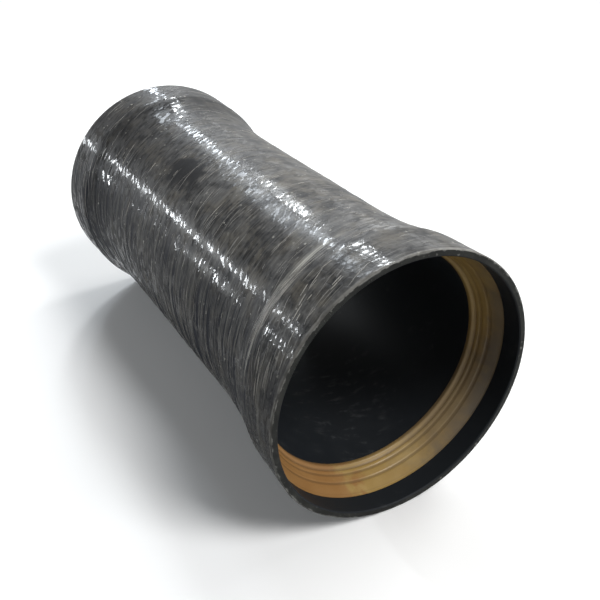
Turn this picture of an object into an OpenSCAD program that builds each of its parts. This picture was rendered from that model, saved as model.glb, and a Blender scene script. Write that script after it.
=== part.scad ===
// Double-belled sleeve coupling for heavy wall glass fibre conduit.
//
// The sleeve is wound in one piece. A conduit enters at each belled mouth,
// passes a ribbed sealing ring and runs on into the barrel.
// The axis runs along Y. The sleeve lies on its two bell rims on z = 0,
// and the origin is on that level, under the middle of the sleeve.

/* [Mating conduit] */
// Outside diameter of the conduit that the coupling joins
conduit_od = 107.2; // [60:0.1:170]
// Radial room between that conduit and the barrel's bore
bore_clearance = 0.3; // [0.1:0.05:1]

/* [Sleeve] */
// Length from mouth to mouth
sleeve_length = 267; // [200:1:600]
// Wall of the barrel between the two bells
barrel_wall = 2.8; // [1.5:0.1:6]
// Wall of the mouth lip
lip_wall = 3.3; // [2:0.1:6]
// Radial room between the conduit and the lip's bore
lip_gap = 6.2; // [4:0.1:9]
// Length of the plain lip in front of the sealing ring
lip_depth = 10; // [4:0.5:20]
// Small flat that takes the sharp edge off each side of the lip
edge_break = 0.5; // [0.2:0.1:1]

/* [Bell] */
// Distance from the mouth to the bell's shoulder
shoulder_depth = 25; // [18:0.5:36]
// How far the bell has narrowed, on the radius, at its shoulder
shoulder_drop = 0.9; // [0:0.1:2]
// Length over which the bell flares down to the barrel behind its shoulder
flare_length = 62; // [30:1:62]
// Wall that is left outside the sealing ring at the back of its pocket
pocket_wall = 2.6; // [1.5:0.1:3]

/* [Sealing ring] */
// Length of the ring along the axis
ring_length = 16.2; // [12:0.1:22]
// Thickness of the ring's front edge
ring_edge = 0.7; // [0.3:0.1:1.5]
// How far the sealing bead is smaller than the conduit, on the radius
seal_squeeze = 0.2; // [0.1:0.05:0.6]
// Width of the sealing bead at the back of the ring
bead_width = 2.9; // [2:0.1:4]
// Height of the sealing bead over the ring's cone
bead_height = 1.4; // [0.5:0.1:2]
// Flat land along the top of the bead
bead_land = 1.2; // [0.5:0.1:1.8]
// Width of the rib in front of the bead
rear_rib_width = 2.6; // [1.5:0.1:4]
// Width of the rib in front of that one
front_rib_width = 4; // [2:0.1:5]
// Width of the grooves between the ribs
groove_width = 0.8; // [0.4:0.1:1]
// Depth of the grooves between the ribs
groove_depth = 0.5; // [0.2:0.1:1]
// Radial room between the ring and the wall of its pocket
ring_fit = 0.1; // [0.05:0.05:0.3]

/* [Hidden] */

// A revolved surface is drawn with this many sides
$fn = 144;
// Straight steps that the flare's curve is drawn with
flare_steps = 16;
// Straight steps of the bead's round front
bead_steps = 6;
// How fast the flare dies away into the barrel
flare_power = 3;

// Radii, from the conduit outwards
conduit_r = conduit_od / 2;
bore_r = conduit_r + bore_clearance;
barrel_r = bore_r + barrel_wall;
lip_r = conduit_r + lip_gap;
mouth_r = lip_r + lip_wall;
shoulder_r = mouth_r - shoulder_drop;
seal_r = conduit_r - seal_squeeze;

// Depths, measured from the mouth
seat_depth = lip_depth + ring_length;
flare_end = shoulder_depth + flare_length;
bead_depth = seat_depth - bead_width;
rear_rib_depth = bead_depth - rear_rib_width;
front_rib_depth = rear_rib_depth - front_rib_width;

// The pocket that holds the ring
pocket_front_r = lip_r + ring_edge + ring_fit;
pocket_back_r = bell_r(seat_depth) - pocket_wall;

// Outer radius of the sleeve at a depth behind its mouth
function bell_r(depth) =
    depth < shoulder_depth
    ? mouth_r - shoulder_drop * depth / shoulder_depth
    : barrel_r + (shoulder_r - barrel_r)
        * pow(max(0, 1 - (depth - shoulder_depth) / flare_length), flare_power);

// Inner radius of the ring's cone at a depth behind the mouth
function cone_r(depth) =
    lip_r + (seal_r + bead_height - lip_r)
        * (depth - lip_depth) / (bead_depth - lip_depth);

// Outline points are [radius, depth behind the mouth]
function outer_outline() = concat(
    [[mouth_r - edge_break, 0], [bell_r(edge_break), edge_break]],
    [for (i = [0:flare_steps])
        let (depth = shoulder_depth + flare_length * i / flare_steps)
        [bell_r(depth), depth]]
);

function inner_outline() = [
    [bore_r, seat_depth],
    [pocket_back_r, seat_depth],
    [pocket_front_r, lip_depth],
    [lip_r, lip_depth],
    [lip_r, edge_break],
    [lip_r + edge_break, 0]
];

// A V groove across the ring's cone, centred on a depth
function groove(depth) = [
    [cone_r(depth - groove_width / 2), depth - groove_width / 2],
    [cone_r(depth) + groove_depth, depth],
    [cone_r(depth + groove_width / 2), depth + groove_width / 2]
];

// The bead rises in a quarter round from the last groove to its land
function bead() =
    let (
        foot = bead_depth + groove_width / 2,
        run = seat_depth - bead_land - foot,
        rise = cone_r(foot) - seal_r
    )
    [for (i = [1:bead_steps])
        let (a = 90 * i / bead_steps)
        [seal_r + rise * (1 - sin(a)), foot + run * (1 - cos(a))]];

function ring_outline() = concat(
    [[lip_r, lip_depth]],
    groove(front_rib_depth),
    groove(rear_rib_depth),
    groove(bead_depth),
    bead(),
    [
        [seal_r, seat_depth],
        [pocket_back_r - ring_fit, seat_depth],
        [pocket_front_r - ring_fit, lip_depth]
    ]
);

// The same outline, run backwards from the far mouth
function from_far_end(points) =
    [for (i = [len(points) - 1:-1:0]) [points[i][0], sleeve_length - points[i][1]]];

// Turns an outline about the sleeve's axis and lays it down on its rims
module turned(points) {
    translate([0, -sleeve_length / 2, mouth_r])
        rotate([-90, 0, 0])
            rotate_extrude() polygon(points);
}

module conduit_body() {
    color([0.16, 0.16, 0.16])
        turned(concat(
            outer_outline(),
            from_far_end(outer_outline()),
            from_far_end(inner_outline()),
            inner_outline()
        ));
}

module near_seal_ring() {
    color([0.62, 0.48, 0.29]) turned(ring_outline());
}

module far_seal_ring() {
    color([0.62, 0.48, 0.29]) turned(from_far_end(ring_outline()));
}

conduit_body();
near_seal_ring();
far_seal_ring();
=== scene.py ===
# %% [markdown]
# # A conduit coupling of wound glass fibre
#
# The object is a short sleeve that joins two lengths of heavy wall conduit.
# Wet glass fibre is wound round a steel former, nearly as hoops, until the
# wall is thick enough, and black epoxy holds it. Both ends flare into a bell.
# Inside each bell sits a tan, ribbed sealing ring.
#
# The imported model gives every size. This script adds the finish: the winding's
# relief, the stray fibres in the resin, the cut mouths, the dusty bore and the
# moulded rings. Every length below is in metres.

import math

import bmesh
import bpy
from mathutils import Matrix, Vector
from mathutils.bvhtree import BVHTree


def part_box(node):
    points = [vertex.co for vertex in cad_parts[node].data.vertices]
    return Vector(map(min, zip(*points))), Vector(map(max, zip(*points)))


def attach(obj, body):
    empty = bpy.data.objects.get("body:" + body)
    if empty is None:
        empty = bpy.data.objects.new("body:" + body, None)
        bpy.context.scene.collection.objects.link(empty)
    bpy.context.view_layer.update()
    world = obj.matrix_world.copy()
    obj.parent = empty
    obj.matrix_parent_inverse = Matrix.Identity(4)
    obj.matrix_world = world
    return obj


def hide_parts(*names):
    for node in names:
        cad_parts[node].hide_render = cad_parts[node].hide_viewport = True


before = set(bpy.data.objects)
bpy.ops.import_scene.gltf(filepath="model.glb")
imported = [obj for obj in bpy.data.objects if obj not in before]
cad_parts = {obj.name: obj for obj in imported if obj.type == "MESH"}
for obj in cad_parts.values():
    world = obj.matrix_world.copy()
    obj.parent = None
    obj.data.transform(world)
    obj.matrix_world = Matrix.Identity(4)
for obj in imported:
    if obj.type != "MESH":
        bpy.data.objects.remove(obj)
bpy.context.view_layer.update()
MM = 0.001

body_low, body_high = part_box("conduit_body")
ring_low, ring_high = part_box("near_seal_ring")
LENGTH = body_high.y - body_low.y
MOUTH_RADIUS = (body_high.x - body_low.x) / 2
AXIS_HEIGHT = (body_high.z + body_low.z) / 2
print("sleeve", round(LENGTH / MM, 1), "mm long,",
      round(2 * MOUTH_RADIUS / MM, 1), "mm across the mouth")

# %% [markdown]
# ## Measuring the frame
#
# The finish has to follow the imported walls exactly. The wall's radius at any
# distance behind the near mouth, here called its depth, is found with a ray:
# one that comes from outside meets the outer wall, and one that starts on the
# axis meets the inner wall. That needs no list of sizes to be kept in step.

# %% Find the walls with rays
def tree_of(node):
    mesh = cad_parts[node].data
    return BVHTree.FromPolygons([v.co for v in mesh.vertices], [p.vertices for p in mesh.polygons])


walls = {name: tree_of(name) for name in ("conduit_body", "near_seal_ring")}
RAY_ANGLE = 0.3


def wall_radius(node, depth, outside):
    """Radius of a node's outer or inner wall at a depth behind the near mouth."""
    axis_point = Vector((0, depth - LENGTH / 2, AXIS_HEIGHT))
    out = Vector((math.sin(RAY_ANGLE), 0, math.cos(RAY_ANGLE)))
    start, way = (axis_point + out * 2 * MOUTH_RADIUS, -out) if outside else (axis_point, out)
    hit = walls[node].ray_cast(start, way)[0]
    return (hit - axis_point).length


LIP_DEPTH = ring_low.y - body_low.y
SEAT_DEPTH = ring_high.y - body_low.y
LIP_RADIUS = wall_radius("conduit_body", LIP_DEPTH / 2, outside=False)
BORE_RADIUS = wall_radius("conduit_body", LENGTH / 2, outside=False)
BARREL_RADIUS = wall_radius("conduit_body", LENGTH / 2, outside=True)
print("radius of lip", round(LIP_RADIUS / MM, 2), "bore", round(BORE_RADIUS / MM, 2),
      "barrel", round(BARREL_RADIUS / MM, 2))

# %% [markdown]
# ## The camera
#
# The view looks down at the near mouth from the left, with a moderate lens, so
# the far bell looks smaller. The camera is placed from a point beside the axis
# that it aims at, a direction and a distance, which is easier to change than
# raw coordinates.

# %% Place the camera
AIM_DEPTH = 86.8 * MM
AIM_LEFT = 1 * MM
CAMERA_SIDE = math.radians(29.65)
CAMERA_DOWN = math.radians(29.96)
CAMERA_DISTANCE = 385.7 * MM
LENS = 47.4


def direction(side, up):
    """A unit vector: side turns from +Y towards +X, up lifts it."""
    return Vector((math.sin(side) * math.cos(up), math.cos(side) * math.cos(up), math.sin(up)))


camera_data = bpy.data.cameras.new("camera")
camera_data.lens = LENS
camera = bpy.data.objects.new("camera", camera_data)
bpy.context.scene.collection.objects.link(camera)
looking = direction(CAMERA_SIDE, -CAMERA_DOWN)
aim = Vector((-AIM_LEFT, AIM_DEPTH - LENGTH / 2, AXIS_HEIGHT))
camera.location = aim - looking * CAMERA_DISTANCE
camera.rotation_euler = looking.to_track_quat("-Z", "Y").to_euler()
bpy.context.scene.camera = camera
print("camera at", [round(c, 4) for c in camera.location])

# %% [markdown]
# ## Small helpers for node trees
#
# Geometry and shader trees are built in the same way: add a node, set its
# values, link its inputs. A few helpers keep each tree below short enough to
# be read as a recipe.

# %% Node helpers
def new_group(name, kind, inputs, outputs):
    """A node group with named sockets. Returns it, its inputs' values and its outputs' sinks."""
    tree = bpy.data.node_groups.new(name, kind)
    for label, socket, default in inputs:
        made = tree.interface.new_socket(label, in_out="INPUT", socket_type="NodeSocket" + socket)
        if default is not None:
            made.default_value = default
    for label, socket in outputs:
        tree.interface.new_socket(label, in_out="OUTPUT", socket_type="NodeSocket" + socket)
    return tree, tree.nodes.new("NodeGroupInput").outputs, tree.nodes.new("NodeGroupOutput").inputs


def feed(tree, socket, value):
    """Links a socket to another node's output, or sets its value."""
    if isinstance(value, bpy.types.NodeSocket):
        tree.links.new(value, socket)
    else:
        socket.default_value = value


def add(tree, kind, inputs=None, **settings):
    """Adds a node. inputs maps an input's name or number to a value or an output."""
    node = tree.nodes.new(kind)
    for key, value in settings.items():
        setattr(node, key, value)
    for key, value in (inputs or {}).items():
        feed(tree, node.inputs[key], value)
    return node


def calc(tree, operation, *values):
    """A Math node's result."""
    return add(tree, "ShaderNodeMath", dict(enumerate(values)), operation=operation).outputs[0]


def soft_step(tree, value, start, end, at_start=0.0, at_end=1.0):
    """Goes softly from at_start to at_end as the value goes from start to end."""
    inputs = {"Value": value, "From Min": start, "From Max": end, "To Min": at_start, "To Max": at_end}
    return add(tree, "ShaderNodeMapRange", inputs, interpolation_type="SMOOTHSTEP").outputs["Result"]


def blend_value(tree, mask, base, over):
    """The base value where the mask is 0, the other where it is 1."""
    return calc(tree, "MULTIPLY_ADD", mask, calc(tree, "SUBTRACT", over, base), base)


def place_group(tree, inner, inputs):
    """Places a group in a tree and returns its first output."""
    kind = "GeometryNodeGroup" if tree.type == "GEOMETRY" else "ShaderNodeGroup"
    node = tree.nodes.new(kind)
    node.node_tree = inner
    for key, value in inputs.items():
        feed(tree, node.inputs[key], value)
    return node.outputs[0]


# %% [markdown]
# ## The lay of the fibre
#
# Everything on the outside follows the lay: long along the fibre, short across
# it, and leaning a little, because each turn moves forward by one width. Noise
# stretched along a helix gives that, but a helix doesn't meet itself after one
# turn, so plain noise would show a seam. Here two copies of the noise, one turn
# apart, fade into each other along the underside. The group is built once for
# geometry and once for shading, so relief and colour come from one rule.

# %% Noise that follows the winding
SEAM_FADE = 0.7


def round_axis(tree, position):
    """A position's parts: across X, along Y, up from the axis, and its angle from the top."""
    at = add(tree, "ShaderNodeSeparateXYZ", {0: position}).outputs
    up = calc(tree, "SUBTRACT", at["Z"], AXIS_HEIGHT)
    angle = calc(tree, "ARCTAN2", at["X"], up)
    return {"across": at["X"], "along": at["Y"], "up": up, "angle": angle}


def build_lay_noise(kind):
    tree, given, result = new_group(
        "Lay noise", kind,
        [("Position", "Vector", None), ("Lean", "Float", 0.2), ("Across", "Float", 3 * MM),
         ("Along", "Float", 30 * MM), ("Detail", "Float", 1.0), ("Seed", "Float", 0.0)],
        [("Value", "Float")])
    at = round_axis(tree, given["Position"])
    samples = []
    for turn in (0.0, 2 * math.pi):
        arc = calc(tree, "MULTIPLY", calc(tree, "SUBTRACT", at["angle"], turn), BARREL_RADIUS)
        leaned = calc(tree, "SUBTRACT", at["along"], calc(tree, "MULTIPLY", arc, given["Lean"]))
        stretched = add(tree, "ShaderNodeCombineXYZ", {
            "X": calc(tree, "DIVIDE", at["across"], given["Along"]),
            "Y": calc(tree, "DIVIDE", leaned, given["Across"]),
            "Z": calc(tree, "DIVIDE", at["up"], given["Along"])}).outputs[0]
        noise = add(tree, "ShaderNodeTexNoise", {
            "Vector": stretched, "W": given["Seed"], "Scale": 1.0, "Detail": given["Detail"],
            "Roughness": 0.55}, noise_dimensions="4D")
        samples.append(noise.outputs[0])
    fade = soft_step(tree, at["angle"], math.pi - SEAM_FADE, math.pi)
    mixed = add(tree, "ShaderNodeMix", {0: fade, 2: samples[0], 3: samples[1]}, data_type="FLOAT")
    tree.links.new(mixed.outputs[0], result["Value"])
    return tree


LEAN = 0.16
lay_for_geometry = build_lay_noise("GeometryNodeTree")
lay_for_shading = build_lay_noise("ShaderNodeTree")
print("lay noise built for", lay_for_geometry.type, "and", lay_for_shading.type)

# %% [markdown]
# ## The bell's shoulder
#
# Behind its mouth a bell runs nearly straight, then turns at a shoulder and
# flares down to the barrel. The relief, the beads and several marks change at
# the shoulder. Its depth could be typed in, but then it would be wrong as soon
# as the part changed, so it is found where the wall bends most.

# %% Find the shoulder
SHOULDER_FROM, SHOULDER_TO = 15 * MM, 40 * MM
SHOULDER_STEP = 0.5 * MM


def steps(start, end, step):
    """Evenly spaced values from start to end, both included."""
    count = max(1, round(abs(end - start) / step))
    return [start + (end - start) * i / count for i in range(count + 1)]


def bend_at(depth):
    """How sharply the outer wall turns at a depth. It is lowest at the bell's shoulder."""
    before, here, after = (wall_radius("conduit_body", depth + d, outside=True) for d in (-MM, 0, MM))
    return before + after - 2 * here


SHOULDER_DEPTH = min(steps(SHOULDER_FROM, SHOULDER_TO, SHOULDER_STEP), key=bend_at)
NEAR_SHOULDER = SHOULDER_DEPTH - LENGTH / 2
print("the bell's shoulder lies", round(SHOULDER_DEPTH / MM, 1), "mm behind the mouth")

# %% [markdown]
# ## Outlines
#
# Each piece is turned from a closed outline of radius against depth. The outer
# wall is walked in steps of just under a millimetre, fine enough to carry the
# winding's relief as real geometry. Plain walls take long steps. A number on
# each point, its mark, tells the finish there: 0 wound skin, 1 cut face, 2 bore.

# %% Walk the walls of the sleeve
SKIN_STEP, FACE_STEP, LIP_STEP, BORE_STEP = 0.9 * MM, 0.7 * MM, 2.4 * MM, 24 * MM
SMOOTH_OVER = 2 * MM
EDGE = 0.5 * MM
POCKET_INSET = 0.02 * MM
WOUND, CUT, BORE = 0.0, 1.0, 2.0


def mean_radius(node, depths, outside):
    """A wall's radius, averaged over several depths."""
    return sum(wall_radius(node, depth, outside) for depth in depths) / len(depths)


def eased_radius(depth):
    """Outer radius, averaged over a short stretch, which rounds the shoulder."""
    reach = min(SMOOTH_OVER, depth - EDGE, LENGTH - EDGE - depth)
    if reach <= 0:
        return wall_radius("conduit_body", depth, outside=True)
    return mean_radius("conduit_body", steps(depth - reach, depth + reach, reach / 4), outside=True)


def mouth_outline():
    """The near mouth, from the outer edge round to the seat of the ring: (radius, depth, mark)."""
    top = wall_radius("conduit_body", EDGE, outside=True) - EDGE
    inner = LIP_RADIUS + EDGE
    face = [(radius, 0.0, CUT) for radius in steps(top, inner, FACE_STEP)[1:-1]]
    lip = [(LIP_RADIUS, depth, BORE) for depth in steps(EDGE, LIP_DEPTH, LIP_STEP)]
    pocket = [(wall_radius("conduit_body", depth, outside=False), depth, BORE)
              for depth in (LIP_DEPTH + POCKET_INSET, SEAT_DEPTH - POCKET_INSET)]
    return [(top, 0.0, (WOUND + CUT) / 2)] + face + [(inner, 0.0, (CUT + BORE) / 2)] + lip + pocket


near_mouth = mouth_outline()
far_mouth = [(radius, LENGTH - depth, mark) for radius, depth, mark in reversed(near_mouth)]
bore_line = [(BORE_RADIUS, d, BORE) for d in steps(SEAT_DEPTH, LENGTH - SEAT_DEPTH, BORE_STEP)]
skin_line = [(eased_radius(d), d, WOUND) for d in steps(LENGTH - EDGE, EDGE, SKIN_STEP)]
sleeve_outline = near_mouth + bore_line + far_mouth + skin_line
print("sleeve outline has", len(sleeve_outline), "points,", len(skin_line), "of them on the wound skin")

# %% [markdown]
# ## The winding's relief
#
# Tow lies in broad bands, single tows and fine ridges, and the skin sinks
# between them. A bump in the material could fake that, but only geometry shows
# along the outline and in an exported mesh, so the skin's points are pushed in
# by three layers of the lay noise. The near bell is smoother than the rest, so
# its tows and ridges are shallower.

# %% Layers of relief
# Each layer: width across the lay, length along it, and depth
RELIEF_LAYERS = ((9 * MM, 60 * MM, 0.20 * MM),
                 (3 * MM, 30 * MM, 0.10 * MM),
                 (1.9 * MM, 14 * MM, 0.04 * MM))
WIDE_BAND = 5 * MM
BELL_RELIEF = 0.22
BELL_BLEND = 4 * MM


def winding_relief(tree, position, along_axis):
    """How far the layers sink a point of the skin."""
    relief = 0.0
    ridged = soft_step(tree, along_axis, NEAR_SHOULDER - BELL_BLEND, NEAR_SHOULDER, at_start=BELL_RELIEF)
    for seed, (across, along, depth) in enumerate(RELIEF_LAYERS):
        noise = place_group(tree, lay_for_geometry, {
            "Position": position, "Lean": LEAN, "Across": across, "Along": along,
            "Detail": 0.0, "Seed": float(seed)})
        if across < WIDE_BAND:
            noise = calc(tree, "MULTIPLY", noise, ridged)
        relief = calc(tree, "MULTIPLY_ADD", noise, depth, relief)
    return relief


print("the relief is at most", round(sum(layer[-1] for layer in RELIEF_LAYERS) / MM, 2), "mm deep")

# %% [markdown]
# ## Values kept on points
#
# When an outline is swept round a circle its points move, and where they were
# is lost. What a later node needs is stored on each point first, under a name,
# and read back there. An anonymous attribute would do inside one tree, but a
# name can be read by a material too.

# %% Store, read and compare
def capture(tree, geometry, kind, name, value):
    """Stores a value on each point, so that it can be read after the shape changes."""
    inputs = {"Geometry": geometry, "Name": name, "Value": value}
    return add(tree, "GeometryNodeStoreNamedAttribute", inputs, data_type=kind, domain="POINT").outputs[0]


def read(tree, kind, name):
    """Reads a stored value."""
    return add(tree, "GeometryNodeInputNamedAttribute", {"Name": name}, data_type=kind).outputs[0]


def compare_mark(tree, operation, limit):
    """Whether a point's mark is LESS_THAN or GREATER_THAN a limit."""
    return add(tree, "FunctionNodeCompare", {0: read(tree, "FLOAT", "mark"), 1: limit},
               operation=operation, data_type="FLOAT").outputs[0]


# %% [markdown]
# ## Turned pieces
#
# A Screw modifier could turn an outline, but a Geometry Nodes tree leaves the
# rule open to change: Curve to Mesh sweeps the outline round a circle, and Set
# Position then puts every point at its own radius, depth and angle. The same
# tree turns the sleeve and both rings. The relief is pushed in at the end, only
# where a point's mark says that it is wound skin.

# %% A Geometry Nodes tree that turns an outline
WOUND_ONLY, CUT_OR_BORE, BORE_ONLY = 0.25, 0.5, 1.5


def build_turning():
    tree, given, result = new_group(
        "Turned piece", "GeometryNodeTree",
        [("Geometry", "Geometry", None), ("Segments", "Int", 64), ("Length", "Float", 1.0),
         ("Axis height", "Float", 0.0), ("Relief", "Float", 0.0),
         ("Outside", "Material", None), ("End face", "Material", None), ("Inside", "Material", None)],
        [("Geometry", "Geometry")])
    position = add(tree, "GeometryNodeInputPosition").outputs[0]
    outline = add(tree, "GeometryNodeMeshToCurve", {0: given["Geometry"]}).outputs[0]
    outline = capture(tree, outline, "FLOAT_VECTOR", "wall", position)
    circle = add(tree, "GeometryNodeCurvePrimitiveCircle", {"Resolution": given["Segments"]}).outputs[0]
    share = calc(tree, "DIVIDE", add(tree, "GeometryNodeInputIndex").outputs[0], given["Segments"])
    circle = capture(tree, circle, "FLOAT", "turn", calc(tree, "MULTIPLY", share, 2 * math.pi))
    swept = add(tree, "GeometryNodeCurveToMesh", {"Curve": circle, "Profile Curve": outline}).outputs[0]

    wall = add(tree, "ShaderNodeSeparateXYZ", {0: read(tree, "FLOAT_VECTOR", "wall")}).outputs
    turn = read(tree, "FLOAT", "turn")
    along_axis = calc(tree, "SUBTRACT", wall["Y"], calc(tree, "DIVIDE", given["Length"], 2.0))

    def around(radius):
        return add(tree, "ShaderNodeCombineXYZ", {
            "X": calc(tree, "MULTIPLY", radius, calc(tree, "SINE", turn)), "Y": along_axis,
            "Z": calc(tree, "ADD", calc(tree, "MULTIPLY", radius, calc(tree, "COSINE", turn)),
                      given["Axis height"])}).outputs[0]

    placed = add(tree, "GeometryNodeSetPosition", {
        "Geometry": swept, "Position": around(wall["X"])}).outputs[0]
    relief = winding_relief(tree, position, along_axis)
    sunk = calc(tree, "SUBTRACT", wall["X"], calc(tree, "MULTIPLY", relief, given["Relief"]))
    placed = add(tree, "GeometryNodeSetPosition", {
        "Geometry": placed, "Selection": compare_mark(tree, "LESS_THAN", WOUND_ONLY),
        "Position": around(sunk)}).outputs[0]
    whole = add(tree, "GeometryNodeRealizeInstances", {0: placed}).outputs[0]
    finished = add(tree, "GeometryNodeSetMaterial", {
        "Geometry": whole, "Material": given["Outside"]}).outputs[0]
    for limit, label in ((CUT_OR_BORE, "End face"), (BORE_ONLY, "Inside")):
        finished = add(tree, "GeometryNodeSetMaterial", {
            "Geometry": finished, "Selection": compare_mark(tree, "GREATER_THAN", limit),
            "Material": given[label]}).outputs[0]
    tree.links.new(finished, result["Geometry"])
    return tree


turning = build_turning()
print("the turning tree has", len(turning.nodes), "nodes")

# %% [markdown]
# ## From a tree to a plain mesh
#
# A Geometry Nodes modifier is live, so every later step would run it again. The
# tree is run once instead, on a small seed mesh, and the evaluated result is
# kept as the piece's own mesh. Inputs are found by name but set by identifier,
# which is how the modifier stores them. The enclosed volume is printed, because
# a negative one would mean that the faces point inwards.

# %% Run a tree and keep a plain mesh
def set_inputs(modifier, values):
    """Sets a Geometry Nodes modifier's inputs, found by name and set by identifier."""
    for item in modifier.node_group.interface.items_tree:
        if item.item_type == "SOCKET" and item.in_out == "INPUT" and item.name in values:
            modifier[item.identifier] = values[item.name]


def enclosed_volume(mesh):
    """Volume inside a closed mesh. It is negative if the faces point inwards."""
    shape = bmesh.new()
    shape.from_mesh(mesh)
    volume = shape.calc_volume(signed=True)
    shape.free()
    return volume


def grow(name, mesh, tree, values):
    """Runs a tree on a mesh and returns the result as a new object with no modifier."""
    seed = bpy.data.objects.new(name + "_seed", mesh)
    modifier = seed.modifiers.new("nodes", "NODES")
    modifier.node_group = tree
    set_inputs(modifier, values)
    bpy.context.scene.collection.objects.link(seed)
    evaluated = seed.evaluated_get(bpy.context.evaluated_depsgraph_get())
    made = bpy.data.objects.new(name, bpy.data.meshes.new_from_object(evaluated))
    bpy.data.objects.remove(seed)
    bpy.context.scene.collection.objects.link(made)
    made.data.name = name
    made.data.calc_loop_triangles()
    print(name, "has", len(made.data.loop_triangles), "triangles and encloses",
          round(enclosed_volume(made.data) / MM ** 3), "cubic mm")
    return made


def outline_mesh(name, outline):
    """A closed loop of edges. X is the radius, Y the depth, and the mark is kept on each point."""
    mesh = bpy.data.meshes.new(name)
    loop = [(i, (i + 1) % len(outline)) for i in range(len(outline))]
    mesh.from_pydata([(radius, depth, 0.0) for radius, depth, _ in outline], loop, [])
    marks = mesh.attributes.new("mark", "FLOAT", "POINT")
    marks.data.foreach_set("value", [mark for _, _, mark in outline])
    return mesh


# %% [markdown]
# ## Shared surface effects
#
# Four effects come back in several finishes, so each is a node group. The first
# two make small marks. Streaks turns the lay noise into thin lines, for dry
# fibre and rubbing. Specks makes scattered grit: a cell pattern alone would give
# round dots of one size, so its position is bent with noise first, and each dot
# takes a size of its own.

# %% Streaks and specks
SPECK_BEND = (0.6, 0.6, 0.6)
SMALL_SPECK, LARGE_SPECK = 0.4, 1.1
SPECK_CORE, SPECK_RIM = 0.15, 0.42


def build_streaks():
    tree, given, result = new_group(
        "Streaks", "ShaderNodeTree",
        [("Position", "Vector", None), ("Lean", "Float", LEAN), ("Across", "Float", 0.6 * MM),
         ("Along", "Float", 20 * MM), ("Level", "Float", 0.62), ("Softness", "Float", 0.08),
         ("Seed", "Float", 0.0)],
        [("Mask", "Float")])
    noise = place_group(tree, lay_for_shading, {
        name: given[name] for name in ("Position", "Lean", "Across", "Along", "Seed")})
    top = calc(tree, "ADD", given["Level"], given["Softness"])
    tree.links.new(soft_step(tree, noise, given["Level"], top), result["Mask"])
    return tree


def build_specks():
    tree, given, result = new_group(
        "Specks", "ShaderNodeTree",
        [("Position", "Vector", None), ("Size", "Float", 2 * MM), ("Share", "Float", 0.3),
         ("Seed", "Float", 0.0)],
        [("Mask", "Float")])
    scaled = add(tree, "ShaderNodeVectorMath", {
        0: given["Position"], 3: calc(tree, "DIVIDE", 1.0, given["Size"])}, operation="SCALE").outputs[0]
    push = add(tree, "ShaderNodeTexNoise", {"Vector": scaled, "Scale": 3.0, "Detail": 1.0})
    bent = add(tree, "ShaderNodeVectorMath", {
        0: push.outputs["Color"], 1: SPECK_BEND, 2: scaled}, operation="MULTIPLY_ADD").outputs[0]
    cells = add(tree, "ShaderNodeTexVoronoi", {
        "Vector": bent, "W": given["Seed"], "Scale": 1.0}, voronoi_dimensions="4D").outputs
    pick = add(tree, "ShaderNodeSeparateColor", {0: cells["Color"]}).outputs[0]
    share = calc(tree, "DIVIDE", pick, given["Share"])
    own_size = blend_value(tree, share, SMALL_SPECK, LARGE_SPECK)
    from_middle = calc(tree, "DIVIDE", cells["Distance"], own_size)
    dot = soft_step(tree, from_middle, SPECK_CORE, SPECK_RIM, at_start=1.0, at_end=0.0)
    chosen = calc(tree, "LESS_THAN", pick, given["Share"])
    tree.links.new(calc(tree, "MULTIPLY", dot, chosen), result["Mask"])
    return tree


streaks, specks = build_streaks(), build_specks()
print("small effects:", streaks.name, specks.name)

# %% [markdown]
# ## Haze and patches
#
# The other two effects are broad. Haze is a soft, cloudy mask that keeps a
# finish from looking even. A patch is one ragged oval, set by its depth behind
# the mouth, its angle round the sleeve and its size, for a mark that stays where
# it was made: a stain, a smear or a band of dust.

# %% Haze and patches
def build_haze():
    tree, given, result = new_group(
        "Haze", "ShaderNodeTree",
        [("Position", "Vector", None), ("Size", "Float", 20 * MM), ("Level", "Float", 0.5),
         ("Softness", "Float", 0.3), ("Seed", "Float", 0.0)],
        [("Mask", "Float")])
    scale = calc(tree, "DIVIDE", 1.0, given["Size"])
    noise = add(tree, "ShaderNodeTexNoise", {
        "Vector": given["Position"], "W": given["Seed"], "Scale": scale,
        "Detail": 4.0, "Roughness": 0.6}, noise_dimensions="4D").outputs[0]
    top = calc(tree, "ADD", given["Level"], given["Softness"])
    tree.links.new(soft_step(tree, noise, given["Level"], top), result["Mask"])
    return tree


PATCH_EDGE = 0.95
PATCH_GRAIN = 7 * MM
PATCH_PUSH = 4.0


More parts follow.
